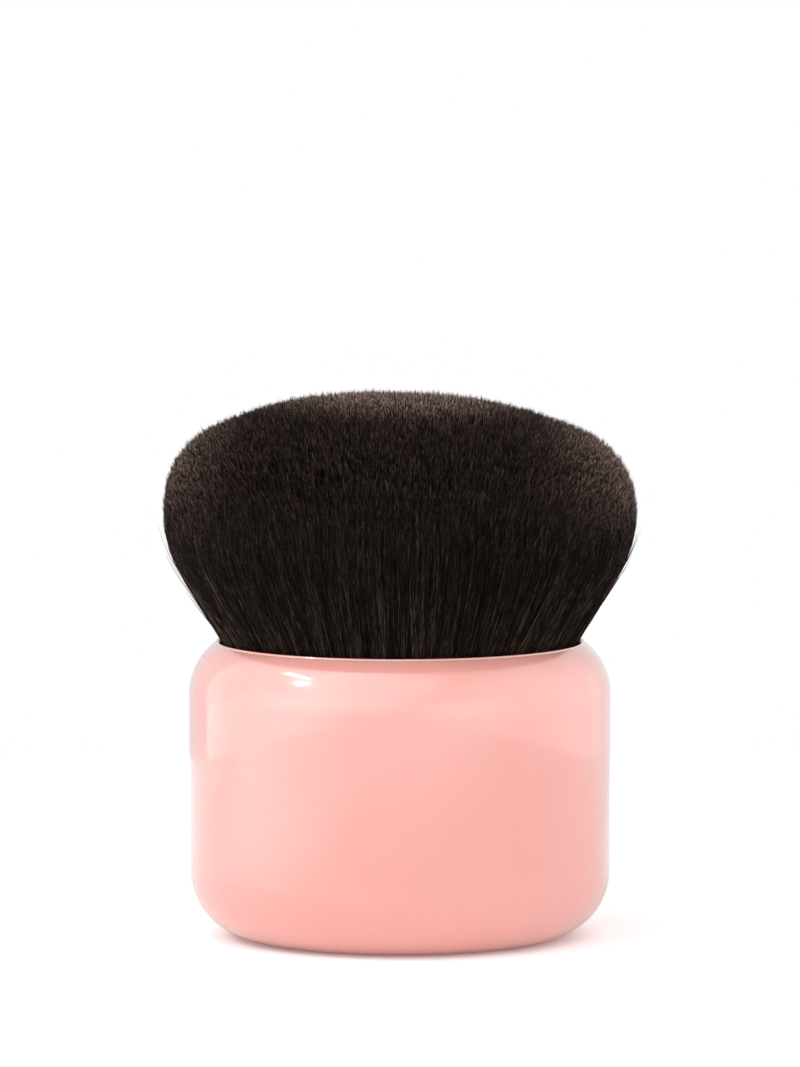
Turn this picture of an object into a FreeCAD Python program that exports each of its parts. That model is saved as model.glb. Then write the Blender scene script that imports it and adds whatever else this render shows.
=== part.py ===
"""Kabuki makeup brush: a short round handle that holds a wide domed head of bristles.

The frame has its origin at the middle of the foot, +Z up along the brush's axis, and lengths in
millimetres. The handle is one thick-walled moulding, open at the top. A steel weight lies on a foam
pad in its pocket. A plastic cup stands on the ledge above the weight, snaps into the bore and holds
the weight down with its leg. The bristles are bound by a band, potted in the cup, and fan out of the
handle's mouth.
"""
import FreeCAD
import Part
import math
import os
import Sketcher
from FreeCAD import Vector

# Driving sizes in millimetres, and counts
SIZES = [
    # The handle's outside
    ("handle_diameter", 56.0, "straight barrel"),
    ("handle_height", 40.85, "foot to where the shoulder's round would end, above the lip"),
    ("shoulder_radius", 8.5, "round between barrel and mouth"),
    ("base_radius", 9.0, "round between barrel and foot"),
    ("mouth_inset", 4.0, "barrel's face in to the mouth"),
    ("lip_round", 0.35, "broken edge of the mouth"),
    ("foot_ring_width", 4.0, "flat ring that the brush stands on"),
    ("foot_recess", 0.6, "shallow recess inside that ring"),
    # The handle's inside
    ("floor_thickness", 5.0, "foot to the floor of the weight's pocket"),
    ("floor_round", 0.8, "round between the pocket's floor and its side"),
    ("seat_depth", 17.5, "lip down to the ledge that the cup stands on"),
    ("ledge_width", 2.0, "ledge round the weight's pocket"),
    ("grip_rib_depth", 0.65, "rib that centres the weight"),
    ("grip_rib_width", 1.4, "rib that centres the weight"),
    ("grip_rib_count", 6, "ribs round the pocket"),
    # The weight and its pad
    ("pad_thickness", 1.0, "foam pad under the weight"),
    ("pad_inset", 2.6, "weight's side in to the pad's"),
    ("weight_thickness", 5.0, "steel disc"),
    ("weight_chamfer", 0.6, "broken edges of the disc"),
    ("weight_clearance", 0.15, "disc to rib, per side"),
    # The bristle cup
    ("cup_clearance", 0.15, "cup to bore, per side"),
    ("cup_wall", 1.35, "cup's side"),
    ("cup_floor", 1.5, "cup's floor"),
    ("cup_recess", 2.6, "lip down to the cup's rim"),
    ("cup_rim_round", 0.5, "round inside the cup's rim"),
    ("bead_height", 8.0, "ledge up to the snap bead"),
    ("bead_radius", 0.4, "snap bead's section"),
    ("bead_clearance", 0.05, "bead to its groove"),
    ("glue_groove_width", 1.6, "groove that lets glue run down the cup"),
    ("glue_groove_depth", 0.6, "groove that lets glue run down the cup"),
    ("glue_groove_count", 8, "grooves round the cup"),
    ("leg_diameter", 15.0, "tube under the cup that holds the weight down"),
    ("leg_wall", 1.5, "tube under the cup that holds the weight down"),
    # The bristles' root
    ("bond_gap", 0.05, "glue film between bonded faces"),
    ("plug_thickness", 4.0, "potting on the cup's floor"),
    ("root_inset", 1.7, "cup's side in to the bound bundle"),
    ("band_thickness", 0.7, "binding band"),
    ("band_width", 4.0, "binding band, along the axis"),
    # The bristle head
    ("bristle_clearance", 0.3, "bundle to the cup and to the mouth, per side"),
    ("head_diameter", 62.5, "widest part of the head"),
    ("flare_height", 17.25, "lip up to the widest part"),
    ("flare_round", 17.0, "round below the widest part, which the flare runs into"),
    ("edge_radius", 11.0, "round above the widest part"),
    ("crown_rise", 4.25, "crown above the top of that round"),
    # How far a cut runs past an open face, and a rib into its wall
    ("overrun", 1.0, "past a face"),
]

# Radii (_r), heights (_z) and lengths that follow from the sizes, each from the ones before it
PLACES = [
    # The handle
    ("barrel_r", "sizes.handle_diameter / 2"),
    ("mouth_r", "barrel_r - sizes.mouth_inset"),
    ("lip_inset", "max(0; sizes.shoulder_radius - sizes.mouth_inset)"),
    ("lip_drop", "sizes.shoulder_radius - sqrt(sizes.shoulder_radius ^ 2 - lip_inset ^ 2)"),
    ("lip_z", "sizes.handle_height - lip_drop"),
    ("ledge_z", "lip_z - sizes.seat_depth"),
    ("bore_start_z", "sizes.handle_height + sizes.overrun"),
    ("bore_depth", "bore_start_z - ledge_z"),
    ("pocket_r", "mouth_r - sizes.ledge_width"),
    ("pocket_depth", "ledge_z - sizes.floor_thickness"),
    ("recess_r", "barrel_r - sizes.base_radius - sizes.foot_ring_width"),
    ("recess_depth", "sizes.foot_recess + sizes.overrun"),
    ("rib_tip_r", "pocket_r - sizes.grip_rib_depth"),
    ("rib_root_r", "pocket_r + sizes.overrun"),
    ("rib_height", "sizes.pad_thickness + sizes.weight_thickness"),
    # The weight and its pad
    ("weight_r", "rib_tip_r - sizes.weight_clearance"),
    ("pad_r", "weight_r - sizes.pad_inset"),
    ("pad_top_z", "sizes.floor_thickness + sizes.pad_thickness"),
    ("weight_top_z", "pad_top_z + sizes.weight_thickness"),
    # The cup
    ("cup_outer_r", "mouth_r - sizes.cup_clearance"),
    ("cup_inner_r", "cup_outer_r - sizes.cup_wall"),
    ("cup_floor_z", "ledge_z + sizes.cup_floor"),
    ("cup_top_z", "lip_z - sizes.cup_recess"),
    ("cup_height", "cup_top_z - ledge_z"),
    ("cup_cut_z", "cup_top_z + sizes.overrun"),
    ("cup_depth", "cup_cut_z - cup_floor_z"),
    ("bead_z", "ledge_z + sizes.bead_height"),
    ("groove_radius", "sizes.bead_radius + sizes.bead_clearance"),
    ("glue_near_r", "cup_outer_r - sizes.glue_groove_depth"),
    ("glue_far_r", "cup_outer_r + sizes.overrun"),
    ("glue_length", "cup_cut_z - ledge_z + sizes.overrun"),
    ("leg_r", "sizes.leg_diameter / 2"),
    ("leg_bore_r", "leg_r - sizes.leg_wall"),
    ("leg_length", "ledge_z - weight_top_z"),
    # The bristles
    ("plug_r", "cup_inner_r - sizes.bond_gap"),
    ("plug_top_z", "cup_floor_z + sizes.plug_thickness"),
    ("root_r", "cup_inner_r - sizes.root_inset"),
    ("band_inner_r", "root_r + sizes.bond_gap"),
    ("band_outer_r", "band_inner_r + sizes.band_thickness"),
    ("band_top_z", "plug_top_z + sizes.band_width"),
    ("throat_r", "cup_inner_r - sizes.bristle_clearance"),
    ("neck_r", "mouth_r - sizes.bristle_clearance"),
    ("widest_z", "lip_z + sizes.flare_height"),
    ("flare_r", "sizes.head_diameter / 2 - sizes.flare_round"),
    ("edge_r", "sizes.head_diameter / 2 - sizes.edge_radius"),
    ("dome_height", "sizes.edge_radius + sizes.crown_rise"),
    ("crown_z", "widest_z + dome_height"),
    ("crown_radius", "(edge_r ^ 2 + dome_height ^ 2 - sizes.edge_radius ^ 2) / (2 * sizes.crown_rise)"),
]

# Two rims count as the same place within this share of the handle's width.
MATCH_SHARE = 0.0001

doc = FreeCAD.newDocument("kabuki_brush")

sheet = doc.addObject("Spreadsheet::Sheet", "sizes")
for row, (alias, number, meaning) in enumerate(SIZES, start=1):
    sheet.set(f"A{row}", alias)
    sheet.set(f"B{row}", str(number))
    sheet.set(f"C{row}", meaning)
    sheet.setAlias(f"B{row}", alias)
doc.recompute()

places = doc.addObject("App::VarSet", "places")
for alias, formula in PLACES:
    places.addProperty("App::PropertyFloat", alias, "Places")
    places.setExpression(alias, formula)
doc.recompute()

PLACE_NAMES = {alias for alias, formula in PLACES}


def tied(name):
    """The expression that ties a dimension to a named place or size."""
    return ("places." if name in PLACE_NAMES else "sizes.") + name


def now(name):
    """The present number of a named place or size."""
    return float(getattr(places if name in PLACE_NAMES else sheet, name))


# Bodies, sketches and features

def new_body(label):
    body = doc.addObject("PartDesign::Body", label)
    body.Label = label
    return body


def new_sketch(body, name, plane_role, height=None):
    """A sketch on one of the body's own origin planes, raised to a named height."""
    sketch = body.newObject("Sketcher::SketchObject", name)
    plane = next(item for item in body.Origin.OriginFeatures if item.Role == plane_role)
    sketch.AttachmentSupport = [(plane, "")]
    sketch.MapMode = "FlatFace"
    if height is not None:
        sketch.setExpression("AttachmentOffset.Base.z", tied(height))
    return sketch


def bind(sketch, kind, *where, to):
    """Add a dimension to the sketch and tie it to a named place or size."""
    index = sketch.addConstraint(Sketcher.Constraint(kind, *where, now(to)))
    label = f"{to}_{index}"
    sketch.renameConstraint(index, label)
    sketch.setExpression("Constraints." + label, tied(to))


def add_circle(sketch, radius, centre=None):
    """A circle about the sketch's origin, or about a centre at two named places."""
    middle = Vector(now(centre[0]), now(centre[1]), 0.0) if centre else Vector()
    circle = sketch.addGeometry(Part.Circle(middle, Vector(0.0, 0.0, 1.0), now(radius)))
    if centre:
        bind(sketch, "DistanceX", -1, 1, circle, 3, to=centre[0])
        bind(sketch, "DistanceY", -1, 1, circle, 3, to=centre[1])
    else:
        sketch.addConstraint(Sketcher.Constraint("Coincident", circle, 3, -1, 1))
    bind(sketch, "Radius", circle, to=radius)


def add_key(sketch, near, far, width):
    """A rectangle that lies along X, the same width to both sides of it."""
    half = now(width) / 2
    corners = [
        Vector(now(near), -half, 0.0),
        Vector(now(far), -half, 0.0),
        Vector(now(far), half, 0.0),
        Vector(now(near), half, 0.0),
    ]
    low, end, high, tip = (
        sketch.addGeometry(Part.LineSegment(start, stop))
        for start, stop in zip(corners, corners[1:] + corners[:1])
    )
    for side, following in ((low, end), (end, high), (high, tip), (tip, low)):
        sketch.addConstraint(Sketcher.Constraint("Coincident", side, 2, following, 1))
    sketch.addConstraint(Sketcher.Constraint("Horizontal", low))
    sketch.addConstraint(Sketcher.Constraint("Horizontal", high))
    sketch.addConstraint(Sketcher.Constraint("Vertical", tip))
    sketch.addConstraint(Sketcher.Constraint("Symmetric", end, 1, end, 2, -1))
    bind(sketch, "DistanceX", -1, 1, tip, 1, to=near)
    bind(sketch, "DistanceX", -1, 1, end, 1, to=far)
    bind(sketch, "DistanceY", end, 1, end, 2, to=width)


def finish_feature(body, feature, grows):
    """Make the feature the body's tip, and see that it adds or takes material as it should."""
    body.Tip = feature
    doc.recompute()
    base = feature.BaseFeature
    change = feature.Shape.Volume - (base.Shape.Volume if base else 0.0)
    if feature.Shape.isNull() or (change > 0.0) != grows:
        raise ValueError(f"{feature.Name} changes the volume by {change:.3f}")
    return feature


def pad(body, name, sketch, length):
    feature = body.newObject("PartDesign::Pad", name)
    feature.Profile = sketch
    feature.setExpression("Length", tied(length))
    return finish_feature(body, feature, True)


def pocket(body, name, sketch, depth):
    feature = body.newObject("PartDesign::Pocket", name)
    feature.Profile = sketch
    feature.setExpression("Length", tied(depth))
    return finish_feature(body, feature, False)


def turn(body, kind, name, sketch):
    """A Revolution or a Groove right round the brush's axis."""
    feature = body.newObject("PartDesign::" + kind, name)
    feature.Profile = sketch
    feature.ReferenceAxis = (sketch, ["V_Axis"])
    feature.Angle = 360.0
    return finish_feature(body, feature, kind == "Revolution")


def spread_round(body, name, feature, count, grows):
    """Repeat a feature evenly round the brush's axis."""
    pattern = body.newObject("PartDesign::PolarPattern", name)
    pattern.Originals = [feature]
    pattern.Axis = (feature.Profile[0], ["N_Axis"])
    pattern.Angle = 360.0
    pattern.setExpression("Occurrences", tied(count))
    return finish_feature(body, pattern, grows)


def rims(body, radius, heights):
    """Names of the body's full circles of this radius at these heights."""
    near = MATCH_SHARE * now("handle_diameter")
    names = []
    for index, edge in enumerate(body.Tip.Shape.Edges, start=1):
        if not isinstance(edge.Curve, Part.Circle) or not edge.isClosed():
            continue
        if abs(edge.Curve.Radius - radius) > near:
            continue
        if any(abs(edge.Curve.Center.z - height) < near for height in heights):
            names.append(f"Edge{index}")
    if len(names) != len(heights):
        raise ValueError(f"{body.Label}: {len(names)} rims of radius {radius:.3f} found")
    return names


def break_rims(body, kind, name, amount, radius, *heights):
    """A Fillet or a Chamfer of a named size on circular rims."""
    base = body.Tip
    edges = rims(body, now(radius), heights)
    feature = body.newObject("PartDesign::" + kind, name)
    feature.Base = (base, edges)
    feature.setExpression("Radius" if kind == "Fillet" else "Size", tied(amount))
    body.Tip = feature
    doc.recompute()


def plain_disc(label, radius, thickness, base):
    """A plain cylinder whose lower face is at a named height."""
    disc = doc.addObject("Part::Cylinder", label)
    disc.Label = label
    disc.setExpression("Radius", tied(radius))
    disc.setExpression("Height", tied(thickness))
    disc.setExpression("Placement.Base.z", tied(base))
    return disc


# The brush's pieces, from the foot up

def build_handle_shell():
    """Thick-walled moulded handle with a stepped bore, grip ribs and a foot ring."""
    body = new_body("handle_shell")

    barrel = new_sketch(body, "barrel_outline", "XY_Plane")
    add_circle(barrel, "barrel_r")
    pad(body, "barrel", barrel, "handle_height")
    break_rims(body, "Fillet", "shoulder", "shoulder_radius", "barrel_r", now("handle_height"))
    break_rims(body, "Fillet", "base_round", "base_radius", "barrel_r", 0.0)

    bore = new_sketch(body, "bore_outline", "XY_Plane", "bore_start_z")
    add_circle(bore, "mouth_r")
    pocket(body, "cup_bore", bore, "bore_depth")

    well = new_sketch(body, "well_outline", "XY_Plane", "ledge_z")
    add_circle(well, "pocket_r")
    pocket(body, "weight_pocket", well, "pocket_depth")
    break_rims(body, "Fillet", "pocket_corner", "floor_round", "pocket_r", now("floor_thickness"))

    recess = new_sketch(body, "recess_outline", "XY_Plane", "foot_recess")
    add_circle(recess, "recess_r")
    pocket(body, "foot_recess", recess, "recess_depth")

    groove = new_sketch(body, "groove_section", "XZ_Plane")
    add_circle(groove, "groove_radius", ("mouth_r", "bead_z"))
    turn(body, "Groove", "bead_groove", groove)

    break_rims(body, "Fillet", "lip_edge", "lip_round", "mouth_r", now("lip_z"))

    # Each rib's root runs into the wall, so that rib and wall are one piece.
    rib = new_sketch(body, "rib_outline", "XY_Plane", "floor_thickness")
    add_key(rib, "rib_tip_r", "rib_root_r", "grip_rib_width")
    first_rib = pad(body, "grip_rib", rib, "rib_height")
    spread_round(body, "grip_ribs", first_rib, "grip_rib_count", True)
    return body


def build_weight_pad():
    """Foam disc, sticky on both faces, that the weight lies on."""
    return plain_disc("weight_pad", "pad_r", "pad_thickness", "floor_thickness")


def build_weight_disc():
    """Steel disc with both edges broken."""
    body = new_body("weight_disc")
    outline = new_sketch(body, "disc_outline", "XY_Plane", "pad_top_z")
    add_circle(outline, "weight_r")
    pad(body, "disc", outline, "weight_thickness")
    faces = now("pad_top_z"), now("weight_top_z")
    break_rims(body, "Chamfer", "disc_edges", "weight_chamfer", "weight_r", *faces)
    return body


def build_bristle_cup():
    """Moulded cup with a snap bead, glue grooves and a leg that presses on the weight."""
    body = new_body("bristle_cup")

    outline = new_sketch(body, "cup_outline", "XY_Plane", "ledge_z")
    add_circle(outline, "cup_outer_r")
    pad(body, "cup_block", outline, "cup_height")

    inside = new_sketch(body, "inside_outline", "XY_Plane", "cup_cut_z")
    add_circle(inside, "cup_inner_r")
    pocket(body, "cup_inside", inside, "cup_depth")
    break_rims(body, "Fillet", "cup_rim", "cup_rim_round", "cup_inner_r", now("cup_top_z"))

    bead = new_sketch(body, "bead_section", "XZ_Plane")
    add_circle(bead, "bead_radius", ("cup_outer_r", "bead_z"))
    turn(body, "Revolution", "snap_bead", bead)

    leg = new_sketch(body, "leg_outline", "XY_Plane", "weight_top_z")
    add_circle(leg, "leg_r")
    add_circle(leg, "leg_bore_r")
    pad(body, "leg", leg, "leg_length")

    # The grooves run the cup's full height and part the bead, so that it can give.
    groove = new_sketch(body, "glue_outline", "XY_Plane", "cup_cut_z")
    add_key(groove, "glue_near_r", "glue_far_r", "glue_groove_width")
    first_groove = pocket(body, "glue_groove", groove, "glue_length")
    spread_round(body, "glue_grooves", first_groove, "glue_groove_count", False)
    return body


def build_glue_plug():
    """Cured potting that fills the cup's floor and carries the bristles' ends."""
    return plain_disc("glue_plug", "plug_r", "plug_thickness", "cup_floor_z")


def build_binding_band():
    """Band round the bristles' root, standing on the potting."""
    body = new_body("binding_band")
    ring = new_sketch(body, "band_outline", "XY_Plane", "plug_top_z")
    add_circle(ring, "band_outer_r")
    add_circle(ring, "band_inner_r")
    pad(body, "band", ring, "band_width")
    return body


def build_bristle_head():
    """The bundle as one soft solid: bound root, flare out of the mouth, round edge and low crown."""
    body = new_body("bristle_head")
    sketch = new_sketch(body, "head_section", "XZ_Plane")

    # The flare's straight side leaves the mouth and runs into a round that stands upright at the
    # widest part, where a smaller round takes over.
    neck = Vector(now("neck_r"), now("lip_z"), 0.0)
    swell_centre = Vector(now("flare_r"), now("widest_z"), 0.0)
    edge_centre = Vector(now("edge_r"), now("widest_z"), 0.0)
    reach = swell_centre - neck
    flare_angle = math.asin(now("flare_round") / reach.Length) + math.atan2(reach.x, reach.y)
    flare_normal = Vector(math.cos(flare_angle), -math.sin(flare_angle), 0.0)
    flare_end = swell_centre + flare_normal * now("flare_round")

    # The crown is a shallow arc about a point far down the axis, and meets that round smoothly.
    crown_centre = Vector(0.0, now("crown_z") - now("crown_radius"), 0.0)
    crown_normal = (edge_centre - crown_centre).normalize()
    apex = Vector(0.0, now("crown_z"), 0.0)

    root_middle = Vector(0.0, now("plug_top_z"), 0.0)
    root_low = Vector(now("root_r"), now("plug_top_z"), 0.0)
    root_high = Vector(now("root_r"), now("band_top_z"), 0.0)
    throat = Vector(now("throat_r"), now("cup_top_z"), 0.0)
    sides = (
        (root_middle, root_low),
        (root_low, root_high),
        (root_high, throat),
        (throat, neck),
        (neck, flare_end),
        (apex, root_middle),
    )
    bottom, root, spread, collar, flare, axis = (
        sketch.addGeometry(Part.LineSegment(start, stop)) for start, stop in sides
    )
    toward_viewer = Vector(0.0, 0.0, 1.0)
    swell_circle = Part.Circle(swell_centre, toward_viewer, now("flare_round"))
    edge_circle = Part.Circle(edge_centre, toward_viewer, now("edge_radius"))
    crown_circle = Part.Circle(crown_centre, toward_viewer, now("crown_radius"))
    edge_end = math.atan2(crown_normal.y, crown_normal.x)
    swell = sketch.addGeometry(Part.ArcOfCircle(swell_circle, -flare_angle, 0.0))
    edge = sketch.addGeometry(Part.ArcOfCircle(edge_circle, 0.0, edge_end))
    crown = sketch.addGeometry(Part.ArcOfCircle(crown_circle, edge_end, math.pi / 2))

    corners = (
        (bottom, 2, root, 1),
        (root, 2, spread, 1),
        (spread, 2, collar, 1),
        (collar, 2, flare, 1),
        (crown, 2, axis, 1),
        (axis, 2, bottom, 1),
    )
    for corner in corners:
        sketch.addConstraint(Sketcher.Constraint("Coincident", *corner))
    sketch.addConstraint(Sketcher.Constraint("Tangent", flare, 2, swell, 1))
    sketch.addConstraint(Sketcher.Constraint("Tangent", swell, 2, edge, 1))
    sketch.addConstraint(Sketcher.Constraint("Tangent", edge, 2, crown, 1))
    sketch.addConstraint(Sketcher.Constraint("Horizontal", bottom))
    sketch.addConstraint(Sketcher.Constraint("Vertical", root))
    for point in ((axis, 1), (axis, 2), (crown, 3)):
        sketch.addConstraint(Sketcher.Constraint("PointOnObject", *point, -2))

    bind(sketch, "DistanceX", -1, 1, root, 1, to="root_r")
    bind(sketch, "DistanceY", -1, 1, root, 1, to="plug_top_z")
    bind(sketch, "DistanceY", -1, 1, root, 2, to="band_top_z")
    bind(sketch, "DistanceX", -1, 1, spread, 2, to="throat_r")
    bind(sketch, "DistanceY", -1, 1, spread, 2, to="cup_top_z")
    bind(sketch, "DistanceX", -1, 1, collar, 2, to="neck_r")
    bind(sketch, "DistanceY", -1, 1, collar, 2, to="lip_z")
    bind(sketch, "DistanceY", -1, 1, swell, 3, to="widest_z")
    bind(sketch, "Radius", swell, to="flare_round")
    bind(sketch, "DistanceX", -1, 1, edge, 3, to="edge_r")
    bind(sketch, "DistanceY", -1, 1, edge, 3, to="widest_z")
    bind(sketch, "Radius", edge, to="edge_radius")
    bind(sketch, "DistanceY", -1, 1, axis, 1, to="crown_z")
    turn(body, "Revolution", "head", sketch)
    return body


subparts = [
    build_handle_shell(),
    build_weight_pad(),
    build_weight_disc(),
    build_bristle_cup(),
    build_glue_plug(),
    build_binding_band(),
    build_bristle_head(),
]
doc.recompute()

for item in doc.Objects:
    if "Invalid" in item.State or "Error" in item.State:
        raise ValueError(f"{item.Label} is {item.State}")
for subpart in subparts:
    if subpart.Shape.isNull() or not subpart.Shape.isValid():
        raise ValueError(f"{subpart.Label} has no valid shape")

os.makedirs("parts", exist_ok=True)
for subpart in subparts:
    subpart.Shape.exportStep(os.path.join("parts", subpart.Label + ".step"))
    box = subpart.Shape.optimalBoundingBox(False)
    print(f"{subpart.Label}: {subpart.Shape.Volume:.1f} mm3, z {box.ZMin:.2f} to {box.ZMax:.2f},"
          f" width {box.XLength:.2f}, {len(subpart.Shape.Solids)} solid")
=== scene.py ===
"""Short round powder brush: a glossy pink handle and a flared, domed head of dark fibres with paler tips."""
import math

import bpy
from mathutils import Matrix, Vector


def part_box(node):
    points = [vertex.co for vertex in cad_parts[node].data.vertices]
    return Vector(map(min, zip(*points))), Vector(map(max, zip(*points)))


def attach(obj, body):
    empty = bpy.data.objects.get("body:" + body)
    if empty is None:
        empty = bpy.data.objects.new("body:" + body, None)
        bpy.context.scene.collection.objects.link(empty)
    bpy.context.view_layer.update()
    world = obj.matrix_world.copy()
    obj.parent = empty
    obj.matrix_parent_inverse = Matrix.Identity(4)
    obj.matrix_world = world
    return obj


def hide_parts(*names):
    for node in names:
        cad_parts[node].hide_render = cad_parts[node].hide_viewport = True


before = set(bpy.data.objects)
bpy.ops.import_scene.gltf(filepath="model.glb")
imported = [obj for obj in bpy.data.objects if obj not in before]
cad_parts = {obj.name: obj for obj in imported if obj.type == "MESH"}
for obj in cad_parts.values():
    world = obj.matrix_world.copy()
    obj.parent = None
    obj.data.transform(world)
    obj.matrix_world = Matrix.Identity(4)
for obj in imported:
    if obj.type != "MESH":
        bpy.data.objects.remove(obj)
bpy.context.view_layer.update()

MM = 0.001
WHOLE_TURN = 2 * math.pi

# Heights that the fibres follow, from the brush's own solids
LIP_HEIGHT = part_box("handle_shell")[1].z
ROOT_HEIGHT = LIP_HEIGHT - 2.4 * MM   # the lowest that a fibre is drawn, out of sight under the lip
FAN_HEIGHT = 2.6 * MM                 # where the lines of the crown's fibres would meet on the axis

# Reaches from the axis: across the crown for the painted light at its rims, and round the flank for the slant
CROWN_REACH = 30 * MM
FLANK_REACH = 27 * MM

# How a fibre's rings crowd towards its point, how thick it stays near the point,
# and the ends of its radius as a share of the given thickness
CROWN_CROWDING, CROWN_FULLNESS = 3.3, 16.0
STRAND_CROWDING, STRAND_FULLNESS = 1.6, 3.0
THIN, THICK = 0.38, 0.62

# The fibres' colour map: the length of fibre that it covers, and its value at either end
MAP_LENGTH = 30 * MM
MAP_ROOT, MAP_TIP = 0.01, 0.985

ANY_WAY = ((-1, -1, -1), (1, 1, 1))   # the ends of a random vector
NOISE_LOW, NOISE_HIGH = 0.3, 0.7      # most of a noise lies between these


def link_or_set(tree, socket, value):
    """Links a socket to another one, or gives it a value."""
    if isinstance(value, bpy.types.NodeSocket):
        tree.links.new(value, socket)
    else:
        socket.default_value = value


def give(tree, made, sockets):
    """Links or sets a node's sockets by name or number."""
    for key, value in sockets.items():
        link_or_set(tree, made.inputs[key], value)


def node(tree, kind, sockets=None, **settings):
    """Adds a node, makes its settings, and links or sets its sockets."""
    made = tree.nodes.new(kind)
    for name, value in settings.items():
        setattr(made, name, value)
    give(tree, made, sockets or {})
    return made


def calc(tree, operation, *values):
    """One step of arithmetic on numbers or sockets."""
    return node(tree, "ShaderNodeMath", dict(enumerate(values)), operation=operation).outputs[0]


def plus(tree, first, second):
    """A sum."""
    return calc(tree, "ADD", first, second)


def minus(tree, first, second):
    """A difference."""
    return calc(tree, "SUBTRACT", first, second)


def times(tree, first, second):
    """A product."""
    return calc(tree, "MULTIPLY", first, second)


def over(tree, first, second):
    """A quotient."""
    return calc(tree, "DIVIDE", first, second)


def power(tree, first, second):
    """A power."""
    return calc(tree, "POWER", first, second)


def larger(tree, first, second):
    """The larger of two."""
    return calc(tree, "MAXIMUM", first, second)


def vec(tree, operation, *values):
    """One step of vector arithmetic. A SCALE takes the vector and then the factor."""
    keys = (0, "Scale") if operation == "SCALE" else range(len(values))
    made = node(tree, "ShaderNodeVectorMath", dict(zip(keys, values)), operation=operation)
    return made.outputs["Value" if operation in ("DOT_PRODUCT", "LENGTH") else "Vector"]


def parts_of(tree, vector):
    """A vector's X, Y and Z."""
    return node(tree, "ShaderNodeSeparateXYZ", {0: vector}).outputs


def point(tree, **parts):
    """A vector from the parts that are given. The others are 0."""
    return node(tree, "ShaderNodeCombineXYZ", parts).outputs[0]


def ramp(tree, value, low, high, to_low=0.0, to_high=1.0, smooth=False):
    """Maps a stretch of a value to another, and holds it at the ends."""
    kind = "SMOOTHSTEP" if smooth else "LINEAR"
    sockets = {"Value": value, "From Min": low, "From Max": high, "To Min": to_low, "To Max": to_high}
    return node(tree, "ShaderNodeMapRange", sockets, interpolation_type=kind).outputs["Result"]


def blend(tree, factor, first, second):
    """Mixes two colours."""
    made = node(tree, "ShaderNodeMix", data_type="RGBA")
    give(tree, made, {0: factor, 6: first, 7: second})
    return made.outputs[2]


def noise(tree, place, scale, detail, roughness=0.5):
    """Noise at a place, as a number in Fac and as a vector in Color."""
    sockets = {"Vector": place, "Scale": scale, "Detail": detail, "Roughness": roughness}
    return node(tree, "ShaderNodeTexNoise", sockets).outputs


def grain(tree, scale, detail, roughness=0.5):
    """Noise fixed to the piece, with the scale in waves to the metre."""
    place = node(tree, "ShaderNodeTexCoord").outputs["Object"]
    return noise(tree, place, scale, detail, roughness)["Fac"]


def spread_out(tree, value, to_low=0.0, to_high=1.0):
    """A noise spread over the whole way between two values."""
    return ramp(tree, value, NOISE_LOW, NOISE_HIGH, to_low, to_high)


def finish_of(name):
    """A new material with its tree and its shader."""
    material = bpy.data.materials.new(name)
    material.use_nodes = True
    tree = material.node_tree
    return material, tree, tree.nodes["Principled BSDF"]


def relief(tree, height, strength, distance):
    """A normal with fine relief."""
    sockets = {"Height": height, "Strength": strength, "Distance": distance}
    return node(tree, "ShaderNodeBump", sockets).outputs["Normal"]


def pink_gloss(name, depth):
    """Moulded gloss plastic: even pink with a faint cloud in the colour, a clear coat, and a faint swell in the
    polish. Depth is the share of the light that goes a little way into the wall."""
    deep_pink, pale_pink = (0.714, 0.328, 0.290, 1), (0.728, 0.346, 0.308, 1)
    cloud_scale, polish_scale, swell_scale = 38.0, 160.0, 55.0
    smoothest, roughest = 0.16, 0.20
    swell_strength, swell_height = 0.06, 0.4 * MM

    material, tree, shader = finish_of(name)
    cloud = spread_out(tree, grain(tree, cloud_scale, 3.0))
    polish = spread_out(tree, grain(tree, polish_scale, 4.0, 0.6), smoothest, roughest)
    give(tree, shader, {
        "Base Color": blend(tree, cloud, deep_pink, pale_pink),
        "Roughness": polish,
        "IOR": 1.5,
        "Coat Weight": 1.0,
        "Coat Roughness": 0.03,
        "Subsurface Weight": depth,
        "Subsurface Radius": (1.0, 0.30, 0.22),
        "Subsurface Scale": 2 * MM,
        "Normal": relief(tree, grain(tree, swell_scale, 1.0), swell_strength, swell_height),
    })
    return material


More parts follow.
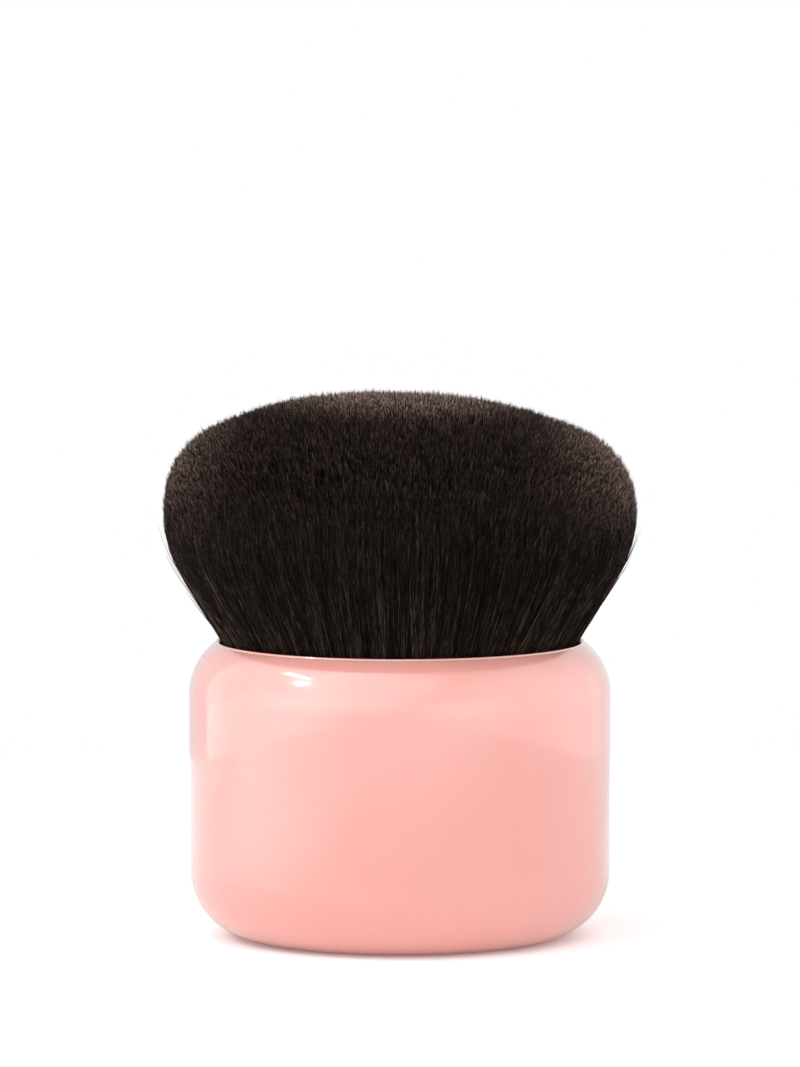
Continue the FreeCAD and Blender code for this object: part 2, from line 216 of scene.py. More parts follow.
def fibre_brown():
    """Dark fibres that pale at their tips. Some fibres are lighter, partly in their own tone and partly as
    painted highlight, and lighter in places along them as painted glints. The map runs along each fibre in V
    and from fibre to fibre in U."""
    # The light colours are partly the fibres' own tone and partly painted highlight
    dark_body, light_body = (0.0042, 0.0029, 0.0022, 1), (0.158, 0.112, 0.087, 1)
    dark_upper, light_upper = (0.0042, 0.0028, 0.0023, 1), (0.180, 0.117, 0.097, 1)
    dark_tip, light_tip = (0.030, 0.0200, 0.0165, 1), (0.620, 0.430, 0.355, 1)
    glints_across, glints_along = 300.0, 22.0
    few_light, some_light = 3.5, 2.0      # the higher, the fewer fibres are light

    material, tree, shader = finish_of("fibre_brown")
    spot = parts_of(tree, node(tree, "ShaderNodeUVMap", uv_map="OFBake").outputs[0])
    shade, along = spot["X"], spot["Y"]
    # Painted glints: noise lights each fibre in short stretches and darkens it between them, standing in for
    # highlight and for the shade where it dips among the others
    stretched = point(tree, X=times(tree, shade, glints_across), Y=times(tree, along, glints_along))
    painted_glint = ramp(tree, noise(tree, stretched, 1.0, 1.0)["Fac"], 0.42, 0.62, 0.15, 1.0)
    lit = times(tree, power(tree, shade, few_light), painted_glint)
    body = blend(tree, lit, dark_body, light_body)
    upper = blend(tree, lit, dark_upper, light_upper)
    tip = blend(tree, power(tree, shade, some_light), dark_tip, light_tip)
    colour = blend(tree, ramp(tree, along, 0.860, 0.950, smooth=True), body, upper)
    colour = blend(tree, ramp(tree, along, 0.973, 0.985), colour, tip)
    give(tree, shader, {
        "Base Color": colour,
        "Roughness": ramp(tree, shade, 0.0, 1.0, 0.50, 0.38),
        "Specular IOR Level": 0.04,
    })
    return material


def fibre_shadow():
    """The deep part of the bundle, where hardly any light comes out."""
    darkest, dark = (0.0018, 0.0013, 0.0010, 1), (0.0075, 0.0055, 0.0042, 1)
    streak_scale = 900.0

    material, tree, shader = finish_of("fibre_shadow")
    streak = ramp(tree, grain(tree, streak_scale, 2.0), 0.35, 0.65)
    give(tree, shader, {
        "Base Color": blend(tree, streak, darkest, dark),
        "Roughness": ramp(tree, streak, 0.0, 1.0, 0.9, 0.7),
        "Specular IOR Level": 0.1,
    })
    return material


def plain_stuff(name, dark, light, scale, rough, metal=0.0, strength=0.1):
    """A finish for the pieces inside the handle: two close colours in a grain, with roughness and relief from
    the same grain."""
    rough_spread, relief_height = 0.06, 0.2 * MM
    material, tree, shader = finish_of(name)
    speck = grain(tree, scale, 4.0, 0.6)
    give(tree, shader, {
        "Base Color": blend(tree, spread_out(tree, speck), dark + (1,), light + (1,)),
        "Roughness": spread_out(tree, speck, rough - rough_spread, rough + rough_spread),
        "Metallic": metal,
        "Normal": relief(tree, speck, strength, relief_height),
    })
    return material


def open_tree(name, result, **sizes):
    """A new Geometry Nodes tree with named inputs of each kind."""
    tree = bpy.data.node_groups.new(name, "GeometryNodeTree")
    for kind, labels in sizes.items():
        for label in labels:
            tree.interface.new_socket(label, in_out="INPUT", socket_type="NodeSocket" + kind)
    tree.interface.new_socket(result, in_out="OUTPUT", socket_type="NodeSocketGeometry")
    return tree, tree.nodes.new("NodeGroupInput").outputs


def realize(tree, geometry):
    """Turns instances into real geometry."""
    return node(tree, "GeometryNodeRealizeInstances", {"Geometry": geometry}).outputs[0]


def close_tree(tree, geometry, finish):
    """The end of every tree: smooth shading, real geometry and the material."""
    sockets = {"Geometry": geometry, "Shade Smooth": True}
    geometry = realize(tree, node(tree, "GeometryNodeSetShadeSmooth", sockets).outputs[0])
    sockets = {"Geometry": geometry, "Material": finish}
    node(tree, "NodeGroupOutput", {0: node(tree, "GeometryNodeSetMaterial", sockets).outputs[0]})


def place_of(tree):
    """Each point's place."""
    return node(tree, "GeometryNodeInputPosition").outputs[0]


def moved(tree, geometry, way, value):
    """Moves every point by an Offset, or to a Position."""
    return node(tree, "GeometryNodeSetPosition", {"Geometry": geometry, way: value}).outputs[0]


def skin_of(tree, head):
    """The surface of the head's own solid."""
    made = node(tree, "GeometryNodeObjectInfo", {"Object": head}, transform_space="RELATIVE")
    return made.outputs["Geometry"]


def chance(tree, seed, low, high, salt, kind="FLOAT"):
    """A random number or vector for each fibre. Every use has a salt of its own."""
    made = node(tree, "FunctionNodeRandomValue", data_type=kind)
    numbers = [socket for socket in made.inputs if socket.enabled]
    for socket, value in zip(numbers, (low, high)):
        link_or_set(tree, socket, value)
    tree.links.new(plus(tree, seed, salt), made.inputs["Seed"])
    return next(socket for socket in made.outputs if socket.enabled)


def keep(tree, geometry, name, value, kind="FLOAT", domain="POINT"):
    """Stores a value under a name."""
    sockets = {"Geometry": geometry, "Name": name, "Value": value}
    return node(tree, "GeometryNodeStoreNamedAttribute", sockets, data_type=kind, domain=domain).outputs[0]


def kept(tree, name, kind="FLOAT"):
    """Reads a stored value."""
    return node(tree, "GeometryNodeInputNamedAttribute", {"Name": name}, data_type=kind).outputs[0]


def one_fibre(tree, steps, crowding, fullness):
    """One fibre of unit size: three sides, closed in a point. Crowding moves its rings up, and fullness keeps
    it thick near the point."""
    sockets = {"Vertices": 3, "Side Segments": steps, "Fill Segments": 1,
               "Radius Top": 0.0, "Radius Bottom": 1.0, "Depth": 1.0}
    cone = node(tree, "GeometryNodeMeshCone", sockets, fill_type="NGON").outputs["Mesh"]
    part = parts_of(tree, place_of(tree))
    across = plus(tree, part["X"], times(tree, part["Y"], 0.5))
    to_go = minus(tree, 1.0, part["Z"])
    late = minus(tree, 1.0, power(tree, to_go, crowding))
    girth = over(tree, minus(tree, 1.0, power(tree, late, fullness)), larger(tree, to_go, 0.001))
    shaped = point(tree, X=times(tree, part["X"], girth), Y=times(tree, part["Y"], girth), Z=late)
    cone = keep(tree, cone, "across", across)
    cone = moved(tree, cone, "Position", shaped)
    return keep(tree, cone, "up", parts_of(tree, place_of(tree))["Z"])


def paleness(tree, tip_height, right):
    """How far into the map's pale end a fibre reaches: least low on the flank, furthest on top of the crown,
    and further at either side; the extra paleness on top and at the sides is painted light. Right runs from -1
    at the head's left to 1 at its right."""
    low = ramp(tree, tip_height, 48 * MM, 60 * MM, 0.984, 0.992)
    # Painted light: paler tips at the head's right and left rims, and on top of the crown
    painted_light_right_rim = ramp(tree, right, 0.50, 0.97, 0.0, 0.017)
    painted_light_left_rim = ramp(tree, right, -0.60, -0.98, 0.0, 0.014)
    painted_light_crown_top = ramp(tree, tip_height, 68.8 * MM, 71.6 * MM, 0.991, 1.008)
    return larger(tree, plus(tree, low, plus(tree, painted_light_right_rim, painted_light_left_rim)), painted_light_crown_top)


def finish_fibres(tree, fibres, names, finish):
    """The colour map of every fibre, then the working values go and the material comes."""
    fibre_width = 0.004
    below_tip = times(tree, minus(tree, 1.0, kept(tree, "up")), kept(tree, "length"))
    map_u = ramp(tree, kept(tree, "shade"), 0.0, 1.0, 0.02, 0.98)
    map_u = plus(tree, map_u, times(tree, kept(tree, "across"), fibre_width))
    # The map's tip end moves with the pale reach, which carries the painted light on top and at the rims
    map_v = times(tree, ramp(tree, below_tip, 0.0, MAP_LENGTH, MAP_TIP, MAP_ROOT), kept(tree, "worn"))
    fibres = keep(tree, fibres, "OFBake", point(tree, X=map_u, Y=map_v), "FLOAT2", "CORNER")
    for name in names + ("length", "shade", "worn", "up", "across"):
        fibres = node(tree, "GeometryNodeRemoveAttribute", {"Geometry": fibres, "Name": name}).outputs[0]
    close_tree(tree, fibres, finish)


def crown_fan():
    """Tree that sets fibres on the head's skin, each on a line that fans out from a point low on the axis."""
    tree, given = open_tree(
        "crown_fan", "Bristles", Object=("Head",), Int=("Seed", "Steps"), Material=("Finish",),
        Float=("Density", "Lowest tip", "Fade", "Fan height", "Root height", "Depth shown", "Thickness",
               "Proud", "Short", "Tuft", "Splay", "Clump", "Bow", "Left lift"))
    clump_scale, tuft_scale = 700.0, 1900.0   # waves to the metre
    least_square = 0.12                       # a fibre that lies flatter in the skin gets no longer for it
    mostly_short = 0.45                       # the lower, the fewer fibres stand proud
    seed = given["Seed"]
    place = place_of(tree)
    part = parts_of(tree, place)
    sideways, height = part["X"], part["Z"]

    # Tips on the head's skin, thinning out towards the low end of their band
    rising = ramp(tree, height, given["Lowest tip"], plus(tree, given["Lowest tip"], given["Fade"]))
    sockets = {"Mesh": skin_of(tree, given["Head"]), "Seed": seed,
               "Density": times(tree, given["Density"], rising)}
    spread = node(tree, "GeometryNodeDistributePointsOnFaces", sockets, distribute_method="RANDOM")
    outward = spread.outputs["Normal"]

    # Each fibre's foot under the lip, on the line from its tip to the fan's centre
    centre = point(tree, Z=given["Fan height"])
    foot_rise = minus(tree, given["Root height"], given["Fan height"])
    share = over(tree, foot_rise, minus(tree, height, given["Fan height"]))
    foot = vec(tree, "ADD", centre, vec(tree, "SCALE", vec(tree, "SUBTRACT", place, centre), share))
    points = keep(tree, spread.outputs["Points"], "foot", foot, "FLOAT_VECTOR")
    points = keep(tree, points, "shade", chance(tree, seed, 0.0, 1.0, 13))
    # Painted light: the tip pales further on top of the crown and at its left and right rims
    points = keep(tree, points, "worn", paleness(tree, height, over(tree, sideways, CROWN_REACH)))

    # The tips lean together in tufts and stray a little along the skin, and the crown stands higher on the left
    gather = noise(tree, place, clump_scale, 1.5)["Color"]
    lean = vec(tree, "SCALE", vec(tree, "SUBTRACT", gather, (0.5, 0.5, 0.5)), given["Clump"])
    sway = vec(tree, "SCALE", chance(tree, seed, *ANY_WAY, 11, "FLOAT_VECTOR"), given["Splay"])
    stray = vec(tree, "ADD", lean, sway)
    off_skin = vec(tree, "SCALE", outward, vec(tree, "DOT_PRODUCT", stray, outward))
    stray = vec(tree, "SUBTRACT", stray, off_skin)
    on_left = ramp(tree, sideways, 2 * MM, -18 * MM, smooth=True)
    high_up = ramp(tree, height, 54 * MM, 62 * MM, smooth=True)
    lift = times(tree, given["Left lift"], times(tree, on_left, high_up))
    points = moved(tree, points, "Offset", vec(tree, "ADD", point(tree, Z=lift), stray))

    # Each fibre's line and length. Some stand proud, and neighbours do so together
    run = vec(tree, "SUBTRACT", place, kept(tree, "foot", "FLOAT_VECTOR"))
    line = vec(tree, "NORMALIZE", run)
    squareness = larger(tree, vec(tree, "DOT_PRODUCT", line, outward), least_square)
    length = calc(tree, "MINIMUM", vec(tree, "LENGTH", run), over(tree, given["Depth shown"], squareness))
    short = power(tree, chance(tree, seed, 0.0, 1.0, 12), mostly_short)
    proud = minus(tree, given["Proud"], times(tree, short, given["Short"]))
    tuft = spread_out(tree, noise(tree, place, tuft_scale, 0.5)["Fac"], -1.0, 1.0)
    proud = plus(tree, proud, times(tree, tuft, given["Tuft"]))
    points = keep(tree, points, "line", line, "FLOAT_VECTOR")
    points = keep(tree, points, "length", plus(tree, length, proud))
    bow = vec(tree, "SCALE", chance(tree, seed, *ANY_WAY, 14, "FLOAT_VECTOR"), given["Bow"])
    points = keep(tree, points, "bow", bow, "FLOAT_VECTOR")
    to_root = minus(tree, proud, kept(tree, "length"))
    points = moved(tree, points, "Offset", vec(tree, "SCALE", kept(tree, "line", "FLOAT_VECTOR"), to_root))

    # A fibre on every root, then its bow
    sockets = {"Vector": kept(tree, "line", "FLOAT_VECTOR")}
    turn = node(tree, "FunctionNodeAlignRotationToVector", sockets, axis="Z").outputs[0]
    girth = times(tree, given["Thickness"], chance(tree, seed, THIN, THICK, 15))
    scale = point(tree, X=girth, Y=girth, Z=kept(tree, "length"))
    fibre = one_fibre(tree, given["Steps"], CROWN_CROWDING, CROWN_FULLNESS)
    sockets = {"Points": points, "Instance": fibre, "Rotation": turn, "Scale": scale}
    fibres = realize(tree, node(tree, "GeometryNodeInstanceOnPoints", sockets).outputs[0])
    up = kept(tree, "up")
    arch = times(tree, power(tree, up, 2.0), minus(tree, 1.0, up))
    bend = vec(tree, "SCALE", kept(tree, "bow", "FLOAT_VECTOR"), times(tree, arch, kept(tree, "length")))
    fibres = moved(tree, fibres, "Offset", bend)
    finish_fibres(tree, fibres, ("foot", "line", "bow"), given["Finish"])
    return tree


def flank_strands():
    """Tree that lays fibres up the head's flank, out of the mouth and just under the skin, each weaving a
    little."""
    tree, given = open_tree(
        "flank_strands", "Bristles", Object=("Head",), Int=("Fibres", "Seed", "Steps"), Material=("Finish",),
        Float=("Lip height", "Root height", "Lowest tip", "Highest tip", "Deepest", "Thickness",
               "Slant", "Weave", "Lift", "Lift bend"))
    mostly_shallow = 1.4                 # the higher, the fewer fibres lie deep
    tuft_rise, tuft_scale = 60.0, 9.0    # how fast the slant's noise changes upwards, and all over
    length_to_height = 1.15              # a fibre runs outwards too, so it is longer than it is high
    slant_pivot = 0.4                    # how far up a slanting fibre crosses its own bearing
    weave_turn = 7.0                     # radians of weave along a fibre
    flare_gap = 0.3 * MM                 # from the lip up to where the fibres start to follow the skin
    seed = given["Seed"]

    # Each fibre's place round the mouth, its tip's height and its ways
    points = node(tree, "GeometryNodePoints", {"Count": given["Fibres"]}).outputs[0]
    points = keep(tree, points, "bearing", chance(tree, seed, 0.0, WHOLE_TURN, 21))
    points = keep(tree, points, "top", chance(tree, seed, given["Lowest tip"], given["Highest tip"], 22))
    bearing, top = kept(tree, "bearing"), kept(tree, "top")
    depth = power(tree, chance(tree, seed, 0.0, 1.0, 23), mostly_shallow)
    points = keep(tree, points, "sunk", times(tree, given["Deepest"], depth))
    ring = point(tree, X=calc(tree, "COSINE", bearing), Y=calc(tree, "SINE", bearing),
                 Z=times(tree, top, tuft_rise))
    tuft = ramp(tree, noise(tree, ring, tuft_scale, 1.0)["Fac"], 0.25, 0.75, -0.8, 0.8)
    slant = plus(tree, chance(tree, seed, -0.6, 0.6, 24), tuft)
    points = keep(tree, points, "slant", times(tree, slant, given["Slant"]))
    points = keep(tree, points, "weave", times(tree, chance(tree, seed, -1.0, 1.0, 25), given["Weave"]))
    points = keep(tree, points, "phase", chance(tree, seed, 0.0, WHOLE_TURN, 26))
    points = keep(tree, points, "lift", times(tree, chance(tree, seed, -0.4, 1.0, 27), given["Lift"]))
    girth = times(tree, given["Thickness"], chance(tree, seed, THIN, THICK, 28))
    points = keep(tree, points, "girth", girth)
    points = keep(tree, points, "shade", chance(tree, seed, 0.0, 1.0, 29))
    # Painted light: the tip pales further at the head's left and right rims and high up
    points = keep(tree, points, "worn", paleness(tree, top, calc(tree, "COSINE", bearing)))
    length = times(tree, minus(tree, top, given["Root height"]), length_to_height)
    points = keep(tree, points, "length", length)
    fibre = one_fibre(tree, given["Steps"], STRAND_CROWDING, STRAND_FULLNESS)
    sockets = {"Points": points, "Instance": fibre}
    fibres = realize(tree, node(tree, "GeometryNodeInstanceOnPoints", sockets).outputs[0])

    # A fibre's first step takes it out of the mouth, and the others up the flare
    part = parts_of(tree, place_of(tree))
    up = kept(tree, "up")
    flare_start = plus(tree, given["Lip height"], flare_gap)
    after_first = minus(tree, 1.0, over(tree, 1.0, given["Steps"]))
    first = minus(tree, 1.0, power(tree, after_first, STRAND_CROWDING))
    height = plus(tree, ramp(tree, up, 0.0, first, given["Root height"], flare_start),
                  ramp(tree, up, first, 1.0, 0.0, minus(tree, kept(tree, "top"), flare_start)))
    aslant = over(tree, times(tree, kept(tree, "slant"), minus(tree, up, slant_pivot)), FLANK_REACH)
    turned = plus(tree, kept(tree, "bearing"), aslant)
    cosine, sine = calc(tree, "COSINE", turned), calc(tree, "SINE", turned)
    outward = point(tree, X=cosine, Y=sine)
    round_about = point(tree, X=times(tree, sine, -1.0), Y=cosine)

    # Every point goes out from the axis to the skin at its height, less the depth that the fibre lies at there
    sockets = {"Target Geometry": skin_of(tree, given["Head"]), "Ray Direction": outward,
               "Source Position": point(tree, Z=larger(tree, height, flare_start)), "Ray Length": 100 * MM}
    reach = node(tree, "GeometryNodeRaycast", sockets).outputs["Hit Distance"]
    wave = calc(tree, "SINE", plus(tree, kept(tree, "phase"), times(tree, up, weave_turn)))
    weave = times(tree, times(tree, kept(tree, "weave"), wave), ramp(tree, up, 0.1, 0.4))
    lift = times(tree, kept(tree, "lift"), power(tree, up, given["Lift bend"]))
    sunk = minus(tree, plus(tree, kept(tree, "sunk"), weave), lift)
    out = plus(tree, minus(tree, reach, sunk), times(tree, part["X"], kept(tree, "girth")))
    aside = times(tree, part["Y"], kept(tree, "girth"))
    spot = vec(tree, "ADD", vec(tree, "SCALE", outward, out), vec(tree, "SCALE", round_about, aside))
    spot = vec(tree, "ADD", spot, point(tree, Z=height))
    fibres = moved(tree, fibres, "Position", spot)
    names = ("bearing", "top", "sunk", "slant", "weave", "phase", "lift", "girth")
    finish_fibres(tree, fibres, names, given["Finish"])
    return tree


def bundle_core():
    """Tree that makes the deep, dark part of the bundle: the head's own form, drawn in under its skin."""
    tree, given = open_tree("bundle_core", "Core", Object=("Head",), Float=("Depth",), Material=("Finish",))
    sockets = {"Geometry": skin_of(tree, given["Head"]), "Distance": 0.005 * MM}
    skin = node(tree, "GeometryNodeMergeByDistance", sockets).outputs[0]
    normal = node(tree, "GeometryNodeInputNormal").outputs[0]
    inward = vec(tree, "SCALE", normal, times(tree, given["Depth"], -1.0))
    close_tree(tree, moved(tree, skin, "Offset", inward), given["Finish"])
    return tree


def rolled_edge():
    """Tree that runs a thin round bead along the edge of the handle's mouth."""
    tree, given = open_tree("rolled_edge", "Bead", Material=("Finish",),
                            Float=("Ring radius", "Height", "Bead radius"))
    sides_round, sides_across = 240, 14

    def circle(sides, radius):
        """A ring of so many sides."""
        sockets = {"Resolution": sides, "Radius": radius}
        return node(tree, "GeometryNodeCurvePrimitiveCircle", sockets, mode="RADIUS").outputs["Curve"]

    sockets = {"Curve": circle(sides_round, given["Ring radius"]),
               "Profile Curve": circle(sides_across, given["Bead radius"])}
    bead = node(tree, "GeometryNodeCurveToMesh", sockets).outputs[0]
    close_tree(tree, moved(tree, bead, "Offset", point(tree, Z=given["Height"])), given["Finish"])
    return tree


def grow(name, tree, sizes):
    """Runs a tree with these sizes and returns its result as a plain mesh object."""
    piece = bpy.data.objects.new(name, bpy.data.meshes.new(name))
    bpy.context.scene.collection.objects.link(piece)
    modifier = piece.modifiers.new(name, "NODES")
    modifier.node_group = tree
    sockets = {item.name: item.identifier for item in tree.interface.items_tree if item.in_out == "INPUT"}
    for label, value in sizes.items():
        modifier[sockets[label]] = value
    graph = bpy.context.evaluated_depsgraph_get()
    grown = piece.evaluated_get(graph)
    mesh = bpy.data.meshes.new_from_object(grown, preserve_all_data_layers=True, depsgraph=graph)
    piece.modifiers.remove(modifier)
    empty, piece.data = piece.data, mesh
    bpy.data.meshes.remove(empty)
    mesh.name = name
    return piece


def head_pieces():
    """The bundle: its dark core, the fibres of the crown, the long strands of the flank, and a few strays."""
    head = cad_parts["bristle_head"]
    brown, shadow = fibre_brown(), fibre_shadow()
    made = [grow("bristle_core", bundle_core(), {"Head": head, "Depth": 1.0 * MM, "Finish": shadow})]
    fan, flank = crown_fan(), flank_strands()
    crown_pieces, crown_seed = 6, 10
    flank_pieces, flank_seed = 4, 40
    stray_seed = 70

    crown = {"Head": head, "Finish": brown, "Fan height": FAN_HEIGHT, "Root height": ROOT_HEIGHT,
             "Density": 4.1e6, "Lowest tip": 53 * MM, "Fade": 5 * MM, "Depth shown": 6 * MM,
             "Thickness": 0.108 * MM, "Steps": 2, "Proud": 0.75 * MM, "Short": 0.9 * MM, "Tuft": 0.35 * MM,
             "Splay": 0.55 * MM, "Clump": 0.8 * MM, "Bow": 0.4, "Left lift": 0.8 * MM}
    for count in range(crown_pieces):
        made.append(grow("bristle_crown_%d" % (count + 1), fan, {**crown, "Seed": crown_seed + count}))

    strand = {"Head": head, "Finish": brown, "Lip height": LIP_HEIGHT, "Root height": ROOT_HEIGHT,
              "Fibres": 7050, "Lowest tip": 46 * MM, "Highest tip": 63 * MM, "Deepest": 0.9 * MM,
              "Thickness": 0.088 * MM, "Steps": 5, "Slant": 1.2 * MM, "Weave": 0.25 * MM,
              "Lift": 0.25 * MM, "Lift bend": 3.0}
    for count in range(flank_pieces):
        made.append(grow("bristle_flank_%d" % (count + 1), flank, {**strand, "Seed": flank_seed + count}))

    loose = {**strand, "Fibres": 170, "Highest tip": 57 * MM, "Deepest": 0.2 * MM,
             "Thickness": 0.19 * MM, "Steps": 7, "Slant": 2.0 * MM, "Weave": 0.1 * MM,
             "Lift": 1.5 * MM, "Lift bend": 1.7}
    made.append(grow("bristle_strays", flank, {**loose, "Seed": stray_seed}))

    for piece in made:
        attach(piece, "root")
        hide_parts("bristle_head")


def mouth_bead(pink):
    """The thin bead that the moulding has on the edge of its mouth."""
    sizes = {"Ring radius": 24.30 * MM, "Bead radius": 0.22 * MM, "Height": LIP_HEIGHT - 0.04 * MM,
             "Finish": pink}
    bead = grow("lip_bead", rolled_edge(), sizes)
    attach(bead, "root")


def dress_solids(pink):
    """Finishes for the solids that stay as they are."""
    foam = plain_stuff("pad_foam", (0.62, 0.62, 0.58), (0.80, 0.80, 0.77), 1400.0, 0.9, strength=0.5)
    steel = plain_stuff("turned_steel", (0.42, 0.42, 0.43), (0.58, 0.58, 0.60), 420.0, 0.32, metal=1.0)
    black = plain_stuff("black_moulding", (0.020, 0.020, 0.021), (0.032, 0.032, 0.034), 700.0, 0.55)
    amber = plain_stuff("amber_resin", (0.36, 0.24, 0.10), (0.50, 0.37, 0.19), 260.0, 0.22)
    strip = plain_stuff("pale_strip", (0.66, 0.66, 0.68), (0.78, 0.78, 0.80), 500.0, 0.35, metal=1.0)
    finishes = {"handle_shell": pink, "weight_pad": foam, "weight_disc": steel,
                "bristle_cup": black, "glue_plug": amber, "binding_band": strip}
    for name, material in finishes.items():
        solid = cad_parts[name]
        solid.data.materials.clear()
        solid.data.materials.append(material)


def toward(left_of_camera, elevation):
    """The direction at a bearing to the left of the camera and a height angle, in degrees."""
    bearing, rise = math.radians(left_of_camera), math.radians(elevation)
    level = math.cos(rise)
    return Vector((-math.sin(bearing) * level, -math.cos(bearing) * level, math.sin(rise)))


def lamp(name, left_of_camera, elevation, watts, shape, width, depth):
    """A soft lamp a metre away, aimed at the brush."""
    target = Vector((0, 0, 35 * MM))
    light = bpy.data.lights.new(name, "AREA")
    light.shape, light.size, light.energy = shape, width, watts
    if shape == "RECTANGLE":
        light.size_y = depth
    piece = bpy.data.objects.new(name, light)
    bpy.context.scene.collection.objects.link(piece)
    piece.location = target + toward(left_of_camera, elevation)
    piece.rotation_euler = (target - piece.location).to_track_quat("-Z", "Y").to_euler()
    piece.visible_camera = False


def white_floor():
    """White floor, round, with an edge that fades into the white room. It keeps the brush's shadow. In the
    gloss it carries painted shade in front and on the right, and a painted gleam further out."""
    # White is the floor's own colour; dim is the grey of its painted shade in the gloss
    white, dim = (0.76, 0.76, 0.76, 1), (0.46, 0.46, 0.46, 1)
    front_painted_gleam, right_painted_shade = 1.10, 0.55
    to_middle = (0.0, 0.05, 0.0)          # the floor's round lies a little in front of the brush
    half = 0.40

    material = bpy.data.materials.new("white_floor")
    material.use_nodes = True
    tree = material.node_tree
    tree.nodes.clear()
    place = node(tree, "ShaderNodeTexCoord").outputs["Object"]
    part = parts_of(tree, place)
    from_brush = vec(tree, "LENGTH", place)
    path = node(tree, "ShaderNodeLightPath").outputs
    glossy = larger(tree, path["Is Glossy Ray"], path["Is Transmission Ray"])

    # What the handle's gloss sees of it, by metres to the right, to the back and from the brush: a painted
    # gleam out on the left and in front, and painted shade in front and on the right
    left_front = times(tree, ramp(tree, part["X"], -0.03, -0.13, smooth=True),
                       ramp(tree, part["Y"], 0.06, -0.04, smooth=True))
    on_left = times(tree, left_front, ramp(tree, from_brush, 0.05, 0.16, smooth=True))
    in_front = times(tree, ramp(tree, part["Y"], -0.10, -0.28), front_painted_gleam)
    painted_gleam = times(tree, glossy, larger(tree, on_left, in_front))
    painted_shade_right = times(tree, ramp(tree, part["X"], 0.03, 0.10), right_painted_shade)
    painted_floor_shade = times(tree, glossy, larger(tree, ramp(tree, part["Y"], -0.05, -0.14), painted_shade_right))

    # A lift that makes the open floor white to the camera, weaker near the foot as painted contact shade, and a
    # glow that lights the foot from below
    open_floor = ramp(tree, from_brush, 20.3 * MM, 27.5 * MM, 0.09, 0.28, smooth=True)
    near_foot = ramp(tree, from_brush, 28 * MM, 45 * MM, 0.36, 0.0, smooth=True)
    glow = times(tree, path["Is Diffuse Ray"], near_foot)
    lift = plus(tree, times(tree, path["Is Camera Ray"], open_floor), plus(tree, painted_gleam, glow))

    matt = node(tree, "ShaderNodeBsdfDiffuse", {"Color": blend(tree, painted_floor_shade, white, dim)}).outputs[0]
    lifted = node(tree, "ShaderNodeEmission", {"Strength": lift}).outputs[0]
    table = node(tree, "ShaderNodeAddShader", {0: matt, 1: lifted}).outputs[0]
    clear = node(tree, "ShaderNodeBsdfTransparent").outputs[0]
    from_middle = vec(tree, "LENGTH", vec(tree, "ADD", place, to_middle))
    past_edge = ramp(tree, from_middle, 0.255, 0.263, smooth=True)
    mixed = node(tree, "ShaderNodeMixShader", {0: past_edge, 1: table, 2: clear}).outputs[0]
    node(tree, "ShaderNodeOutputMaterial", {"Surface": mixed})

    mesh = bpy.data.meshes.new("floor")
    corners = [(-half, -half, 0), (half, -half, 0), (half, half, 0), (-half, half, 0)]
    mesh.from_pydata(corners, [], [(0, 1, 2, 3)])
    mesh.materials.append(material)
    floor = bpy.data.objects.new("floor", mesh)
    bpy.context.scene.collection.objects.link(floor)


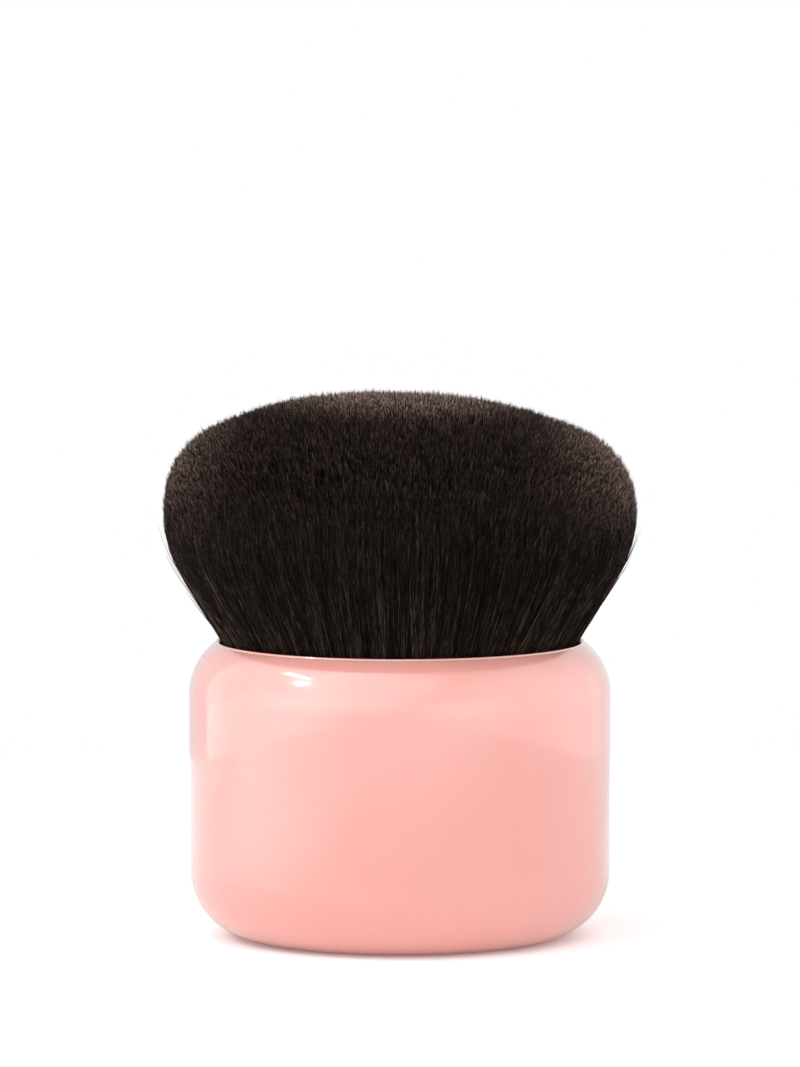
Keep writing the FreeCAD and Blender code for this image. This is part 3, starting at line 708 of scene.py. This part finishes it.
def white_room():
    """Soft light all round: pale walls, a large white card low on the left, a broad soft light high in front, a
    fill on the right, and two pale panels in front that only the gloss shows. To the camera it is white."""
    world = bpy.data.worlds.new("white_room")
    world.use_nodes = True
    tree = world.node_tree
    way = node(tree, "ShaderNodeTexCoord").outputs["Generated"]
    part = parts_of(tree, way)
    path = node(tree, "ShaderNodeLightPath").outputs
    bearing = calc(tree, "ARCTAN2", times(tree, part["X"], -1.0), times(tree, part["Y"], -1.0))

    def turned(low, high):
        """Rises from 0 to 1 between two bearings to the left of the camera, in degrees."""
        return ramp(tree, bearing, math.radians(low), math.radians(high), smooth=True)

    def pool(left_of_camera, elevation, core, edge):
        """A round patch of light: full within the core angle of a direction, and gone at the edge angle."""
        nearness = vec(tree, "DOT_PRODUCT", way, tuple(toward(left_of_camera, elevation)))
        return ramp(tree, nearness, math.cos(math.radians(edge)), math.cos(math.radians(core)), smooth=True)

    # The card on the left, and the wall above its slanting edge
    edge_normal = (0.230, 0.438, 0.869)
    over_card = ramp(tree, vec(tree, "DOT_PRODUCT", way, edge_normal), -0.02, 0.02, smooth=True)
    left_side = times(tree, turned(15, 62), turned(133, 131))
    card = times(tree, left_side, minus(tree, 1.0, over_card))
    above_card = times(tree, left_side, over_card)

    # The two panels that only the gloss shows
    near_level = times(tree, ramp(tree, part["Z"], -0.276, -0.174, smooth=True),
                       ramp(tree, part["Z"], 0.423, 0.139, smooth=True))
    ahead = times(tree, turned(-75, -25), turned(110, 55))
    low_panel = times(tree, path["Is Glossy Ray"], times(tree, near_level, ahead))
    high_panel = times(tree, path["Is Glossy Ray"], pool(45, 45, 25, 58))

    # The other lights, then all of them on top of the walls
    behind_left, behind_right = turned(131, 133), turned(-129, -131)
    high_front, right_fill = pool(20, 43, 20, 45), pool(-75, 6, 12, 75)
    left_glint = pool(74, 3, 1.6, 2.4)
    room = 0.53
    for share, strength in ((card, 1.34), (above_card, 0.95), (behind_left, 0.25), (behind_right, 0.34),
                            (high_front, 1.10), (right_fill, 1.36), (left_glint, 1.20),
                            (low_panel, 1.20), (high_panel, 0.85)):
        room = plus(tree, room, times(tree, share, strength))
    up_to_white = times(tree, path["Is Camera Ray"], minus(tree, 1.0, room))
    sockets = {"Color": (1, 1, 1, 1), "Strength": plus(tree, room, up_to_white)}
    give(tree, tree.nodes["Background"], sockets)
    bpy.context.scene.world = world


def studio():
    """White floor in a white room, with a small lamp and a narrow one high on the left."""
    white_floor()
    white_room()
    lamp("key_lamp", 66, 39, 1.5, "DISK", 0.08, 0.08)
    lamp("strip_lamp", 79, 48, 0.5, "RECTANGLE", 0.30, 0.07)


def photograph_camera():
    """Long lens in front of the brush and a little above it."""
    distance, base_height = 1.1, 20 * MM
    rise, downward = math.radians(6.82), 5.086
    camera = bpy.data.objects.new("camera", bpy.data.cameras.new("camera"))
    bpy.context.scene.collection.objects.link(camera)
    camera.data.sensor_width = 36.0
    camera.data.lens = 280.9
    camera.data.clip_end = 20.0
    camera.location = (0.0, -distance, base_height + distance * math.tan(rise))
    camera.rotation_euler = (math.radians(90 - downward), 0, 0)
    bpy.context.scene.camera = camera


photograph_camera()
studio()
dress_solids(pink_gloss("pink_gloss", 0.7))
mouth_bead(pink_gloss("pink_bead", 0.0))
head_pieces()
bpy.context.scene.view_settings.view_transform = "Standard"
